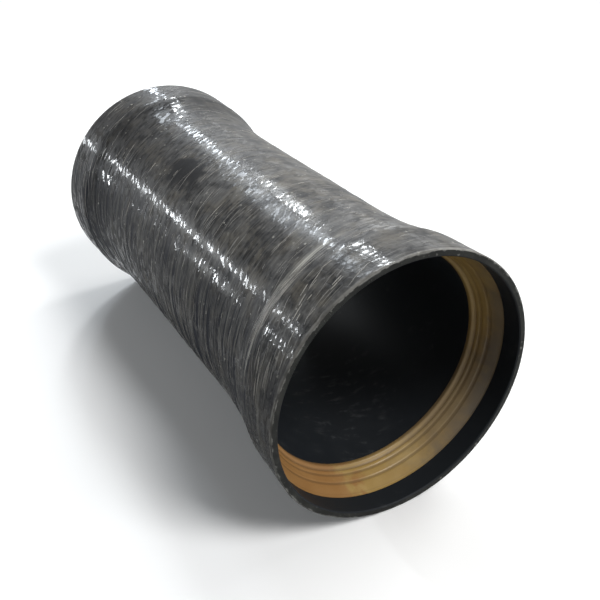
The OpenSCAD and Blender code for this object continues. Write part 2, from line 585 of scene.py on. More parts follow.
def build_patch():
    tree, given, result = new_group(
        "Patch", "ShaderNodeTree",
        [("Position", "Vector", None), ("Depth", "Float", 0.15), ("Angle", "Float", 0.0),
         ("Along sleeve", "Float", 12 * MM), ("Around sleeve", "Float", 8 * MM),
         ("Ragged", "Float", 0.6), ("Softness", "Float", 0.2), ("Lean", "Float", 0.0)],
        [("Mask", "Float")])
    at = round_axis(tree, given["Position"])
    turned = calc(tree, "SUBTRACT", at["angle"], given["Angle"])
    around = calc(tree, "MULTIPLY", calc(tree, "WRAP", turned, math.pi, -math.pi), BARREL_RADIUS)
    along = calc(tree, "SUBTRACT", calc(tree, "ADD", at["along"], LENGTH / 2), given["Depth"])
    along = calc(tree, "SUBTRACT", along, calc(tree, "MULTIPLY", around, given["Lean"]))
    shares = [calc(tree, "DIVIDE", distance, given[size])
              for distance, size in ((along, "Along sleeve"), (around, "Around sleeve"))]
    squares = [calc(tree, "MULTIPLY", share, share) for share in shares]
    noise = add(tree, "ShaderNodeTexNoise", {
        "Vector": given["Position"], "Scale": 1 / PATCH_GRAIN, "Detail": 3.0}).outputs[0]
    push = calc(tree, "MULTIPLY", given["Ragged"], PATCH_PUSH)
    edge = calc(tree, "MULTIPLY", calc(tree, "SUBTRACT", noise, 0.5), push)
    reach = calc(tree, "ADD", calc(tree, "SQRT", calc(tree, "ADD", *squares)), edge)
    inner_edge = calc(tree, "SUBTRACT", PATCH_EDGE, given["Softness"])
    outer_edge = calc(tree, "ADD", PATCH_EDGE, given["Softness"])
    mask = soft_step(tree, reach, inner_edge, outer_edge, at_start=1.0, at_end=0.0)
    tree.links.new(mask, result["Mask"])
    return tree


haze, patch = build_haze(), build_patch()
print("broad effects:", haze.name, patch.name)

# %% [markdown]
# ## Ready for the finishes
#
# Each finish is one material round one Principled shader. These helpers make
# the material, place the shared effects in it, and mix values and colours, so
# that a finish can be read as a list of what lies on the surface. The patterns
# read Object coordinates, which works because every piece sits at the origin.

# %% Helpers for materials
def new_material(name, **plain):
    """A material with one Principled shader. plain holds the values that don't vary."""
    material = bpy.data.materials.new(name)
    material.use_nodes = True
    tree = material.node_tree
    shader = tree.nodes["Principled BSDF"]
    for label, value in plain.items():
        shader.inputs[label.replace("_", " ")].default_value = value
    position = tree.nodes.new("ShaderNodeTexCoord").outputs["Object"]
    return material, tree, shader, position


def blend_colour(tree, mask, base, over):
    """Lays one colour over another where the mask is 1."""
    mix = add(tree, "ShaderNodeMix", {0: mask}, data_type="RGBA")
    for number, colour in ((6, base), (7, over)):
        linked = isinstance(colour, bpy.types.NodeSocket)
        feed(tree, mix.inputs[number], colour if linked else (*colour, 1.0))
    return mix.outputs[2]


def times(tree, first, *others):
    """The product of several masks or values."""
    for other in others:
        first = calc(tree, "MULTIPLY", first, other)
    return first


def highest(tree, first, *others):
    """The largest of several masks."""
    for other in others:
        first = calc(tree, "MAXIMUM", first, other)
    return first


def bump(tree, shader, height, distance):
    """Tilts the shader's normal by a height. distance is how much a height of 1 stands for."""
    made = add(tree, "ShaderNodeBump", {"Height": height, "Distance": distance})
    tree.links.new(made.outputs[0], shader.inputs["Normal"])


# %% [markdown]
# ## The effects by name
#
# A finish calls the same effect many times with other numbers. One short
# function for each effect keeps such a call on one line. Sizes are in metres,
# angles in degrees: 0 is the top of the sleeve, and negative is its left side.

# %% Call the shared effects
def lay(tree, at, across, along, seed, lean=LEAN, detail=0.0):
    return place_group(tree, lay_for_shading, {
        "Position": at, "Lean": lean, "Across": across, "Along": along, "Detail": detail, "Seed": seed})


def lines(tree, at, across, along, level, softness, seed, lean=LEAN):
    return place_group(tree, streaks, {
        "Position": at, "Lean": lean, "Across": across, "Along": along, "Level": level,
        "Softness": softness, "Seed": seed})


def dots(tree, at, size, share, seed):
    return place_group(tree, specks, {"Position": at, "Size": size, "Share": share, "Seed": seed})


def cloud(tree, at, size, level, softness, seed):
    return place_group(tree, haze, {
        "Position": at, "Size": size, "Level": level, "Softness": softness, "Seed": seed})


def spot(tree, at, depth, angle, along, around, ragged, softness=0.2, lean=0.0):
    return place_group(tree, patch, {
        "Position": at, "Depth": depth, "Angle": math.radians(angle), "Along sleeve": along,
        "Around sleeve": around, "Ragged": ragged, "Softness": softness, "Lean": lean})


# %% [markdown]
# ## Where the wound skin changes
#
# The skin isn't the same all over. Low down the resin is thin, which leaves open
# valleys between the tows, and these are coloured dark as painted shade. The left
# flank is dry. The upper right is smooth, and the near bell is beaded. One dark
# smear lies on the left side. Along the far bell's shoulder a dark line is painted
# shade in the crease, and towards the far end the skin is darkened as painted
# shade too. Each could be painted in an image, but here it is a mask worked out
# from a place and a size, which colour and gloss share, and which a changed
# number moves.

# %% Masks for the wound skin
LOW_FROM, LOW_TO = 0.75 * AXIS_HEIGHT, 0.25 * AXIS_HEIGHT
FAR_END_SHADE = 0.42
SMOOTH_SIDE = 0.1
DRY_FLANK = 0.4
BELL_VALLEY = 0.4


def skin_masks(tree, at):
    """The wound skin's masks by name, with the parts of the position under "place"."""
    place = round_axis(tree, at)
    low_down = soft_step(tree, place["up"], LOW_FROM, LOW_TO)
    near_bell = soft_step(tree, place["along"], NEAR_SHOULDER, NEAR_SHOULDER - BELL_BLEND)
    threads = lay(tree, at, across=1.8 * MM, along=34 * MM, seed=51.0, detail=1.0)
    unfilled = cloud(tree, at, size=20 * MM, level=0.4, softness=0.1, seed=52.0)
    to_mouth = calc(tree, "SUBTRACT", LENGTH / 2, calc(tree, "ABSOLUTE", place["along"]))
    left_lumps = soft_step(tree, place["across"], -2 * MM, 20 * MM, at_start=1.0, at_end=SMOOTH_SIDE)
    right_lumps = soft_step(tree, place["across"], 46 * MM, 54 * MM)
    return {
        "place": place,
        "low_down": low_down,
        "near_bell": near_bell,
        # The valleys are coloured dark: painted shade.
        "valley": times(tree, soft_step(tree, threads, 0.50, 0.56), unfilled, low_down,
                        blend_value(tree, near_bell, 1.0, BELL_VALLEY)),
        # Less glossy and darker towards the far end; the darkening is painted shade.
        "toward_near_end": soft_step(tree, place["along"], -20 * MM, 120 * MM,
                                     at_start=1.0, at_end=FAR_END_SHADE),
        # The brim is pale: wear from handling and a painted highlight.
        "brim_wear_and_highlight": soft_step(tree, to_mouth, 1.9 * MM, 0.8 * MM),
        "lumpy": highest(tree, left_lumps, right_lumps),
        "dry_flank": soft_step(tree, place["across"], -24 * MM, -42 * MM, at_start=1.0, at_end=DRY_FLANK),
        "blotches": cloud(tree, at, size=7 * MM, level=0.38, softness=0.24, seed=3.0),
        "smear": spot(tree, at, depth=156 * MM, angle=-31, along=15 * MM, around=12 * MM,
                      ragged=0.45, softness=0.26),
        # A dark line along the far bell's shoulder: painted shade in the crease.
        "crease_shade": spot(tree, at, depth=LENGTH - SHOULDER_DEPTH - 2.5 * MM, angle=-95,
                       along=1.1 * MM, around=38 * MM, ragged=0.15),
    }


# %% [markdown]
# ## Colour of the wound skin
#
# Black epoxy lies over glass that shows through as warm grey. One dark colour
# would look like paint, so the base changes along the lay, between resin and
# wet fibre, and in broad blotches between cool and warm. Low down and towards the
# far end it is darker, as painted shade, and bare tows show low down.

# %% Colour of the wound skin
RESIN = (0.017, 0.0175, 0.019)
WET_FIBRE = (0.098, 0.096, 0.092)
WARM_FIBRE = (0.105, 0.096, 0.08)
BARE_TOW = (0.17, 0.165, 0.145)
STRAND_SHARE = 0.4
LOW_SHADE = 0.5


def fibre_colour(tree, at, masks):
    """Resin and glass, darkened low down and towards the far end as painted shade, before anything lies
    on them.
    """
    near_end, low_down = masks["toward_near_end"], masks["low_down"]
    strands = lay(tree, at, across=1.2 * MM, along=24 * MM, seed=11.0, detail=3.0)
    tone = blend_value(tree, STRAND_SHARE, masks["blotches"], soft_step(tree, strands, 0.36, 0.64))
    # Darker low down and towards the far end: painted shade.
    tone = times(tree, tone, calc(tree, "MULTIPLY_ADD", low_down, -LOW_SHADE, near_end))
    warm = cloud(tree, at, size=14 * MM, level=0.42, softness=0.2, seed=4.0)
    colour = blend_colour(tree, tone, RESIN, blend_colour(tree, warm, WET_FIBRE, WARM_FIBRE))
    tows = lay(tree, at, across=2.6 * MM, along=70 * MM, seed=71.0, detail=1.0)
    bare = times(tree, soft_step(tree, tows, 0.54, 0.62), low_down, near_end, 0.36)
    return blend_colour(tree, bare, colour, BARE_TOW)


# %% [markdown]
# ## What lies on the skin
#
# Dry lines follow the lay where the resin ran short, and the brim is pale, partly
# worn by handling and partly a painted highlight along the mouth's edge. Pale
# specks sit in loose groups, partly grit and partly painted glints of the resin,
# and a band of dust lies behind the near bell's shoulder. Each is a mask of its
# own, laid over the fibre in turn, so that one can be changed without the others.
# The dark marks come last: a real smear, and painted shade in the valleys and
# along the far shoulder's crease.

# %% Marks on the wound skin
DRY_FIBRE = (0.20, 0.195, 0.18)
# Pale colour of grit and dust, also standing for painted glints of the resin.
DUST_AND_GLINT = (0.38, 0.37, 0.33)
# Dark colour of the valleys and the far crease: painted shade.
VALLEY_SHADE = (0.003, 0.004, 0.008)
SMEAR = (0.011, 0.011, 0.012)


def pale_marks(tree, at, masks):
    """Dry lines along the lay, and the pale brim: wear from handling and a painted highlight along the
    edge.
    """
    dry = lines(tree, at, across=0.9 * MM, along=15 * MM, level=0.64, softness=0.06, seed=5.0)
    dry = times(tree, dry, cloud(tree, at, size=22 * MM, level=0.4, softness=0.15, seed=6.0), 0.8)
    chips = cloud(tree, at, size=6 * MM, level=0.38, softness=0.2, seed=21.0)
    return highest(tree, dry, times(tree, masks["brim_wear_and_highlight"], blend_value(tree, chips, 0.35, 0.85)))


def dust_and_glint_marks(tree, at):
    """Pale specks in loose groups, partly grit and partly painted glints, and the pale band behind the
    near bell's shoulder.
    """
    # Pale specks: partly grit, partly painted glints.
    grit_and_glints = times(tree, dots(tree, at, size=2.3 * MM, share=0.5, seed=8.0),
                 cloud(tree, at, size=14 * MM, level=0.47, softness=0.08, seed=9.0), 0.75)
    band = spot(tree, at, depth=SHOULDER_DEPTH + 6.3 * MM, angle=-44, along=2.6 * MM, around=33 * MM,
                ragged=0.25, softness=0.3, lean=LEAN)
    threads = lay(tree, at, across=0.9 * MM, along=30 * MM, seed=61.0)
    threads = soft_step(tree, threads, 0.35, 0.65, at_start=0.25, at_end=0.85)
    return highest(tree, grit_and_glints, times(tree, band, threads))


def skin_colour(tree, at, masks):
    """The fibre's colour, with each mark laid over it in turn."""
    colour = fibre_colour(tree, at, masks)
    layers = ((pale_marks(tree, at, masks), DRY_FIBRE), (dust_and_glint_marks(tree, at), DUST_AND_GLINT),
              (masks["valley"], VALLEY_SHADE), (masks["smear"], SMEAR), (masks["crease_shade"], VALLEY_SHADE))
    for mask, over in layers:
        colour = blend_colour(tree, mask, colour, over)
    return colour


# %% [markdown]
# ## Gloss of the wound skin
#
# Two kinds of gloss meet here. A thin, even coat gives soft streaks of light.
# Lumps of clear resin stand on it and each catch the light as a small, sharp
# glint: long lumps along the lay on the barrel, round, flat-topped beads on the
# near bell. Roughness alone can't break up a highlight, so the lumps are also a
# bump, and the finest ridges with them, because they are too many to model.

# %% Lumps and beads of resin
LUMP_LEAN = 0.45
LUMPS_DRAIN = 0.6
BEAD_AROUND, BEAD_ALONG = 3.7 * MM, 2.8 * MM
BEAD_FLATNESS = 4.0
BEAD_TOP, BEAD_DROP = 0.5, 3.0


def resin_lumps(tree, at, masks):
    """Height and wetness of the lumps on the barrel. They flatten where resin is short."""
    lumps = lay(tree, at, across=2.2 * MM, along=4.6 * MM, seed=41.0, lean=LUMP_LEAN)
    plenty = cloud(tree, at, size=30 * MM, level=0.4, softness=0.2, seed=7.0)
    plenty = calc(tree, "MULTIPLY_ADD", masks["low_down"], -LUMPS_DRAIN, plenty)
    swell = soft_step(tree, plenty, -LUMPS_DRAIN, 1.0, at_start=0.4)
    return times(tree, lumps, swell), soft_step(tree, lumps, 0.50, 0.56)


def resin_beads(tree, place):
    """Height and wetness of the beads on the near bell, one in each cell of a loose grid."""
    grid = add(tree, "ShaderNodeCombineXYZ", {
        "X": calc(tree, "MULTIPLY", place["angle"], MOUTH_RADIUS / BEAD_AROUND),
        "Y": calc(tree, "DIVIDE", place["along"], BEAD_ALONG)}).outputs[0]
    from_top = add(tree, "ShaderNodeTexVoronoi", {
        "Vector": grid, "Scale": 1.0, "Randomness": 0.6}, voronoi_dimensions="2D").outputs["Distance"]
    fall = calc(tree, "POWER", from_top, BEAD_FLATNESS)
    height = calc(tree, "MULTIPLY_ADD", fall, -BEAD_DROP, BEAD_TOP)
    return height, soft_step(tree, from_top, 0.42, 0.36)


print("beads lie", round(BEAD_AROUND / MM, 1), "by", round(BEAD_ALONG / MM, 1), "mm apart")

# %% [markdown]
# ## The wound skin, put together
#
# The masks, the colour and the two kinds of gloss now meet in one material. The
# dark marks are dull, so they take both the coat and the wet look away.

# %% Wound fibre material
BUMP_DEPTH = 0.18 * MM
VALLEY_HEIGHT = -0.8
DULL, WET = 0.5, 0.06


def coat_of_resin(tree, masks, clean):
    """How much of the thin, even coat is left."""
    return times(tree, blend_value(tree, masks["blotches"], 0.05, 0.09),
                 blend_value(tree, masks["low_down"], 1.0, 0.55),
                 masks["dry_flank"], masks["toward_near_end"], clean)


def make_wound_fibre():
    material, tree, shader, at = new_material("wound_glass", Specular_IOR_Level=0.04,
                                              Coat_Roughness=0.2, Coat_IOR=1.8)
    masks = skin_masks(tree, at)
    tree.links.new(skin_colour(tree, at, masks), shader.inputs["Base Color"])
    dark = highest(tree, masks["smear"], masks["valley"], masks["crease_shade"])
    clean = blend_value(tree, dark, 1.0, 0.1)
    tree.links.new(coat_of_resin(tree, masks, clean), shader.inputs["Coat Weight"])

    near_bell, lumpy = masks["near_bell"], masks["lumpy"]
    lumps, lump_tops = resin_lumps(tree, at, masks)
    beads, bead_tops = resin_beads(tree, masks["place"])
    wet = times(tree, blend_value(tree, near_bell, lump_tops, bead_tops), clean, lumpy)
    tree.links.new(soft_step(tree, wet, 0.0, 1.0, DULL, WET), shader.inputs["Roughness"])

    ridges = times(tree, lay(tree, at, across=0.6 * MM, along=8 * MM, seed=31.0, detail=1.0),
                   blend_value(tree, wet, 0.15, 0.02), blend_value(tree, near_bell, 1.0, 0.05))
    height = calc(tree, "ADD", ridges, blend_value(tree, near_bell, lumps, beads))
    height = times(tree, height, lumpy)
    height = calc(tree, "MULTIPLY_ADD", masks["valley"], VALLEY_HEIGHT, height)
    bump(tree, shader, height, BUMP_DEPTH)
    return material


wound_fibre = make_wound_fibre()
print("the wound skin's material has", len(wound_fibre.node_tree.nodes), "nodes")

# %% [markdown]
# ## Loose glass
#
# Threads of glass that lie on top of the resin are paler where it didn't wet
# them. Each thread carries a number, its tint, from the tree that lays it, so a
# single material serves them all. Haze dulls whole groups of threads together.

# %% Loose glass material
BARE_GLASS = (0.36, 0.34, 0.30)
MOSTLY_DULL = 1.5


def make_stray_glass():
    material, tree, shader, at = new_material("stray_glass", Roughness=0.35, Specular_IOR_Level=0.3)
    tint = add(tree, "ShaderNodeAttribute", attribute_name="tint").outputs["Fac"]
    groups = cloud(tree, at, size=8 * MM, level=0.3, softness=0.3, seed=13.0)
    bare = times(tree, calc(tree, "POWER", tint, MOSTLY_DULL), groups)
    tree.links.new(blend_colour(tree, bare, WET_FIBRE, BARE_GLASS), shader.inputs["Base Color"])
    return material


stray_glass = make_stray_glass()
print("threads are as pale as", BARE_GLASS)

# %% [markdown]
# ## The cut faces
#
# A saw trims each mouth, so its face is matt and nearly black, with pale ends
# of glass in it. Its outer corner is pale grey, partly worn by handling and
# partly a painted highlight along the edge. A Bevel node can find corners, but
# it would find the inner one too, so the mask comes from the distance to the
# mouth's own radius, with chips to break it up.

# %% Cut face material
FACE_BLACK, FACE_GREY = (0.014, 0.0145, 0.0135), (0.032, 0.033, 0.030)
GLASS_ENDS = (0.14, 0.14, 0.13)
NICKS = (0.24, 0.24, 0.22)
# The outer corner's pale grey: wear and a painted highlight.
WORN_EDGE_AND_HIGHLIGHT = (0.30, 0.30, 0.28)
GRAIN_DEPTH = 0.1 * MM


def corner_wear_and_highlight(tree, at):
    """1 on the outer corner of a mouth, with chips: wear and a painted highlight."""
    place = round_axis(tree, at)
    squares = [times(tree, place[part], place[part]) for part in ("across", "up")]
    from_rim = calc(tree, "SUBTRACT", MOUTH_RADIUS, calc(tree, "SQRT", calc(tree, "ADD", *squares)))
    chips = cloud(tree, at, size=3 * MM, level=0.42, softness=0.2, seed=4.0)
    worn = soft_step(tree, from_rim, blend_value(tree, chips, 0.6 * MM, 1.4 * MM), 0.4 * MM)
    return times(tree, worn, blend_value(tree, chips, 0.2, 0.8))


def make_cut_face():
    material, tree, shader, at = new_material("cut_face", Roughness=0.6, Specular_IOR_Level=0.12)
    patches = cloud(tree, at, size=9 * MM, level=0.4, softness=0.3, seed=2.0)
    grain = dots(tree, at, size=1.1 * MM, share=0.45, seed=1.0)
    nicks = dots(tree, at, size=2.1 * MM, share=0.4, seed=3.0)
    colour = blend_colour(tree, patches, FACE_BLACK, FACE_GREY)
    colour = blend_colour(tree, times(tree, grain, 0.35), colour, GLASS_ENDS)
    colour = blend_colour(tree, times(tree, nicks, 0.6), colour, NICKS)
    colour = blend_colour(tree, corner_wear_and_highlight(tree, at), colour, WORN_EDGE_AND_HIGHLIGHT)
    tree.links.new(colour, shader.inputs["Base Color"])
    bump(tree, shader, grain, GRAIN_DEPTH)
    return material


cut_face = make_cut_face()
print("the cut face has", len(cut_face.node_tree.nodes), "nodes")

# %% [markdown]
# ## The bore
#
# The inside took the polish of the steel former, so it is smooth and nearly
# black. Dust dulls it, and something that was pushed in left rub marks on the
# bottom, behind the near ring. The marks are haze cut by streaks that lean, so
# they look rubbed and not like spots.

# %% Bore material
BORE_BLACK = (0.0135, 0.0155, 0.0180)
RUBBED_GREY = (0.085, 0.088, 0.090)


def make_bore():
    material, tree, shader, at = new_material("former_bore", Specular_IOR_Level=0.08)
    dust = times(tree, cloud(tree, at, size=16 * MM, level=0.5, softness=0.25, seed=7.0), 0.6)
    rubbed_area = spot(tree, at, depth=66 * MM, angle=174, along=38 * MM, around=28 * MM,
                       ragged=0.5, softness=0.6)
    dust = highest(tree, dust, rubbed_area)
    rubbed = times(tree, cloud(tree, at, size=6 * MM, level=0.46, softness=0.16, seed=12.0),
                   lines(tree, at, across=3.4 * MM, along=9 * MM, level=0.46, softness=0.2, seed=14.0,
                         lean=0.5))
    marks = times(tree, dust, blend_value(tree, rubbed, 0.08, 0.93), 0.5)
    tree.links.new(blend_colour(tree, marks, BORE_BLACK, RUBBED_GREY), shader.inputs["Base Color"])
    tree.links.new(soft_step(tree, dust, 0.0, 1.0, 0.45, 0.55), shader.inputs["Roughness"])
    return material


former_bore = make_bore()
print("the bore has", len(former_bore.node_tree.nodes), "nodes")

# %% [markdown]
# ## The rings' rubber
#
# The rings are cast in tan polyurethane, a little blotchy. Their grooves are
# darkened with painted shade, more so low down. Ambient occlusion could find the
# grooves, but it would also darken the whole ring inside the sleeve, so each
# point carries its own mark instead. Low on the left a redder tint is painted,
# standing in for warmer light there. A grey band runs along the front edge on
# the right, and below it the ring is darkened with painted shade.

# %% Seal material
TAN, PALE_TAN = (0.32, 0.207, 0.067), (0.40, 0.275, 0.10)
# A redder tint that stands in for warmer light: painted light.
PAINTED_RED_LIGHT = (0.26, 0.115, 0.04)
# Grey of the band on the front edge, and of a patch of painted shade.
GREY_EDGE_AND_SHADE = (0.09, 0.085, 0.08)
# Colour of the painted shade in the grooves.
GROOVE_SHADE_COLOUR = (0.07, 0.04, 0.015)
RING_MIDDLE = (LIP_DEPTH + SEAT_DEPTH) / 2


def make_seal():
    material, tree, shader, at = new_material("seal_rubber", Specular_IOR_Level=0.35)
    blotches = cloud(tree, at, size=14 * MM, level=0.35, softness=0.4, seed=9.0)
    # A redder tint low on the left: painted warm light.
    red_light = spot(tree, at, depth=RING_MIDDLE, angle=-138, along=20 * MM, around=30 * MM, ragged=0.4)
    # A grey band along the front edge on the right.
    grey_front_edge = spot(tree, at, depth=LIP_DEPTH + MM, angle=92, along=6 * MM, around=52 * MM,
                 ragged=0.3, softness=0.6)
    # A darker patch lower on the right: painted shade.
    lower_right_shade = spot(tree, at, depth=RING_MIDDLE, angle=128, along=22 * MM, around=32 * MM,
                ragged=0.3, softness=0.6)
    colour = blend_colour(tree, blotches, TAN, PALE_TAN)
    for mask, strength, over in ((red_light, 0.7, PAINTED_RED_LIGHT), (grey_front_edge, 0.65, GREY_EDGE_AND_SHADE), (lower_right_shade, 0.5, GREY_EDGE_AND_SHADE)):
        colour = blend_colour(tree, times(tree, mask, strength), colour, over)

    # Painted shade in the grooves and on the bead's flank, stronger low down.
    groove = add(tree, "ShaderNodeAttribute", attribute_name="mark").outputs["Fac"]
    up = round_axis(tree, at)["up"]
    stronger_below = soft_step(tree, up, 0.5 * AXIS_HEIGHT, -0.5 * AXIS_HEIGHT, at_start=0.35, at_end=0.8)
    shade_in_grooves = times(tree, groove, stronger_below)
    tree.links.new(blend_colour(tree, shade_in_grooves, colour, GROOVE_SHADE_COLOUR), shader.inputs["Base Color"])
    gloss = soft_step(tree, blotches, 0.0, 1.0, 0.34, 0.48)
    tree.links.new(calc(tree, "MULTIPLY_ADD", shade_in_grooves, 0.3, gloss), shader.inputs["Roughness"])
    return material


seal_rubber = make_seal()
print("the seal has", len(seal_rubber.node_tree.nodes), "nodes")

# %% [markdown]
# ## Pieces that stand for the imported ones
#
# Each turned piece takes the place of a packed one. The sleeve's skin is sunk by
# up to the relief's depth, never raised, so it stays inside the body that the
# frame gives. One function turns any of them, because they differ only in their
# outline, their finishes and how finely they are divided.

# %% Turn an outline into a finished piece
SHARP_ANGLE = math.radians(40)


def turn_piece(name, outline, segments, materials, relief=0.0):
    """Turns an outline. materials are those of the outside, the end faces and the inside."""
    piece = grow(name, outline_mesh(name + "_outline", outline), turning, {
        "Segments": segments, "Length": LENGTH, "Axis height": AXIS_HEIGHT, "Relief": relief,
        "Outside": materials[0], "End face": materials[1], "Inside": materials[2]})
    piece.data.shade_smooth()
    piece.data.set_sharp_from_angle(angle=SHARP_ANGLE)
    return piece


# %% [markdown]
# ## Turning the sleeve
#
# The sleeve gets the full relief and three finishes: wound outside, cut at the
# mouths, polished inside. Its edges stay sharp where two faces meet steeply, and
# smooth shading rounds the rest.

# %% Turn the sleeve
SLEEVE_SEGMENTS = 300

sleeve = turn_piece("wound_sleeve", sleeve_outline, SLEEVE_SEGMENTS,
                    (wound_fibre, cut_face, former_bore), relief=1.0)
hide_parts("conduit_body")
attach(sleeve, "root")

# %% [markdown]
# ## The sealing rings
#
# Each ring is one moulding of tan polyurethane: a cone that guides the conduit
# in, two ribs between shallow grooves, and a round bead that seals. The packed
# ring has the right size but sharp grooves, so a finer copy is turned from its
# wall. Rays sample it closely, a short average softens the groove edges, and
# the depth below the cone is kept on each point, for the painted shade in the
# grooves.

# %% Outline of a ring
RING_STEP, RING_BACK_STEP = 0.2 * MM, 4 * MM
RING_SOFTENING = 0.6 * MM
RING_INSET = 0.05 * MM
GROOVE_REACH = 1.2 * MM
GROOVE_DEPTH = 0.25 * MM
BEAD_EDGE = 2.5 * MM
BEAD_GROOVE = 4 * MM
BEAD_GROOVE_SHADING = 0.4


def ring_radius(depth):
    """The ring's inner radius, averaged over a short stretch, which softens the grooves."""
    near_by = steps(depth - RING_SOFTENING, depth + RING_SOFTENING, RING_SOFTENING / 3)
    inside = [d for d in near_by if LIP_DEPTH < d < SEAT_DEPTH]
    return mean_radius("near_seal_ring", inside, outside=False)


def groove_shading(depth):
    """How much painted shade: 0 on the ring's cone, 1 at the bottom of a groove and on the flank that
    faces the bore.
    """
    flank = 1 - (SEAT_DEPTH - depth) / BEAD_EDGE
    if not LIP_DEPTH + GROOVE_REACH < depth < SEAT_DEPTH - GROOVE_REACH:
        return max(0.0, flank)
    beside = (ring_radius(depth - GROOVE_REACH) + ring_radius(depth + GROOVE_REACH)) / 2
    shade_in_grooves = (ring_radius(depth) - beside) / GROOVE_DEPTH
    if SEAT_DEPTH - depth < BEAD_GROOVE:
        shade_in_grooves = shade_in_grooves * BEAD_GROOVE_SHADING
    return min(1.0, max(0.0, flank, shade_in_grooves))


def ring_outline(mirrored):
    """A ring's section as (radius, depth, mark), for the near mouth or the far one."""
    front, rear = LIP_DEPTH + RING_INSET, SEAT_DEPTH - RING_INSET
    inner = [(ring_radius(d), d, groove_shading(d)) for d in steps(front, rear, RING_STEP)]
    back = [(wall_radius("near_seal_ring", d, outside=True), d, 0.0)
            for d in steps(rear, front, RING_BACK_STEP)]
    outline = inner + back
    if mirrored:
        outline = [(radius, LENGTH - d, mark) for radius, d, mark in reversed(outline)]
    return outline


print("a ring's outline has", len(ring_outline(mirrored=False)), "points")

# %% [markdown]
# ## Two rings from one outline
#
# The far ring is the near one, mirrored. A mirrored mesh would have its faces
# inside out, so the outline is mirrored instead, and its order is turned round,
# which keeps the faces pointing outwards.

# %% Turn the rings
RING_SEGMENTS = 240

for node, mirrored in (("near_seal_ring", False), ("far_seal_ring", True)):
    ring = turn_piece(node.replace("seal_ring", "ribbed_seal"), ring_outline(mirrored), RING_SEGMENTS,
                      (seal_rubber, seal_rubber, seal_rubber))
    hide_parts(node)
    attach(ring, "root")

# %% [markdown]
# ## Stray fibres
#
# Single glass fibres and thin tows that came loose lie in the last coat of
# resin. Hand-placed curves would take long, and a particle system can't lie on
# a surface along its length. A Geometry Nodes tree does both. Its first half
# makes a set of short lines and keeps on each one, from seeded random values,
# where it lies and how long, thick, leaning and pale it is.

# %% Scatter lines with their own values
FIBRE_POINTS = 12
SHORT_ONES = 2.5


def random_value(tree, low, high, seed):
    """A random number for each point. Sockets 2, 3 and 8 are the node's own for a number."""
    return add(tree, "FunctionNodeRandomValue", {2: low, 3: high, 8: seed}, data_type="FLOAT").outputs[1]


def values_for_fibres(tree, given):
    """A random value of each kind for every fibre. Short fibres are the most common."""
    seed, spread = given["Seed"], given["Lean spread"]
    seeds = [calc(tree, "ADD", seed, number) for number in range(6)]
    length = calc(tree, "POWER", random_value(tree, 0.0, 1.0, seeds[0]), SHORT_ONES)
    span = calc(tree, "SUBTRACT", given["Longest"], given["Shortest"])
    askew = random_value(tree, calc(tree, "MULTIPLY", spread, -1.0), spread, seeds[4])
    return {
        "length": calc(tree, "MULTIPLY_ADD", length, span, given["Shortest"]),
        "depth": random_value(tree, given["Depth from"], given["Depth to"], seeds[1]),
        "angle": random_value(tree, given["Angle from"], given["Angle to"], seeds[2]),
        "thick": random_value(tree, given["Thinnest"], given["Thickest"], seeds[3]),
        "lean": calc(tree, "ADD", given["Lean"], askew),
        "tint": random_value(tree, 0.0, 1.0, seeds[5]),
    }


def scattered_lines(tree, given):
    """One short straight line for each fibre, which carries the fibre's own values."""
    points = add(tree, "GeometryNodePoints", {"Count": given["Count"]}).outputs[0]
    for name, value in values_for_fibres(tree, given).items():
        points = capture(tree, points, "FLOAT", name, value)
    line = add(tree, "GeometryNodeCurvePrimitiveLine", {"End": (0.0, 0.0, 1.0)}).outputs[0]
    line = add(tree, "GeometryNodeResampleCurve", {"Curve": line, "Count": FIBRE_POINTS}).outputs[0]
    copies = add(tree, "GeometryNodeInstanceOnPoints", {"Points": points, "Instance": line}).outputs[0]
    return add(tree, "GeometryNodeRealizeInstances", {0: copies}).outputs[0]


# %% [markdown]
# ## Laying the fibres on the skin
#
# The second half bends each line round the sleeve. Every point gets an angle and
# a depth from its share of the fibre's length, and noise makes the path wander.
# A ray from outside then drops the point onto the skin, relief and all. A
# Shrinkwrap modifier would do that too, but not inside the tree.

# %% Paths on the sleeve
WANDER_EVERY = 9 * MM


def path_round_sleeve(tree, given, share):
    """How far round and how far along the axis a fibre has come at each of its points."""
    run = calc(tree, "MULTIPLY", calc(tree, "SUBTRACT", share, 0.5), read(tree, "FLOAT", "length"))
    lean, depth = read(tree, "FLOAT", "lean"), read(tree, "FLOAT", "depth")
    turn = calc(tree, "DIVIDE", calc(tree, "MULTIPLY", run, calc(tree, "COSINE", lean)), BARREL_RADIUS)
    turn = calc(tree, "ADD", read(tree, "FLOAT", "angle"), turn)
    along_run = add(tree, "ShaderNodeCombineXYZ", {
        0: calc(tree, "MULTIPLY", run, 1 / WANDER_EVERY), 1: read(tree, "FLOAT", "tint")}).outputs[0]
    wander = add(tree, "ShaderNodeTexNoise", {
        "Vector": along_run, "W": depth, "Scale": 1.0, "Detail": 1.0}, noise_dimensions="4D").outputs[0]
    wander = calc(tree, "MULTIPLY", calc(tree, "SUBTRACT", wander, 0.5), given["Wander"])
    moved = calc(tree, "ADD", calc(tree, "MULTIPLY", run, calc(tree, "SINE", lean)), wander)
    return turn, calc(tree, "SUBTRACT", calc(tree, "ADD", moved, depth), LENGTH / 2)


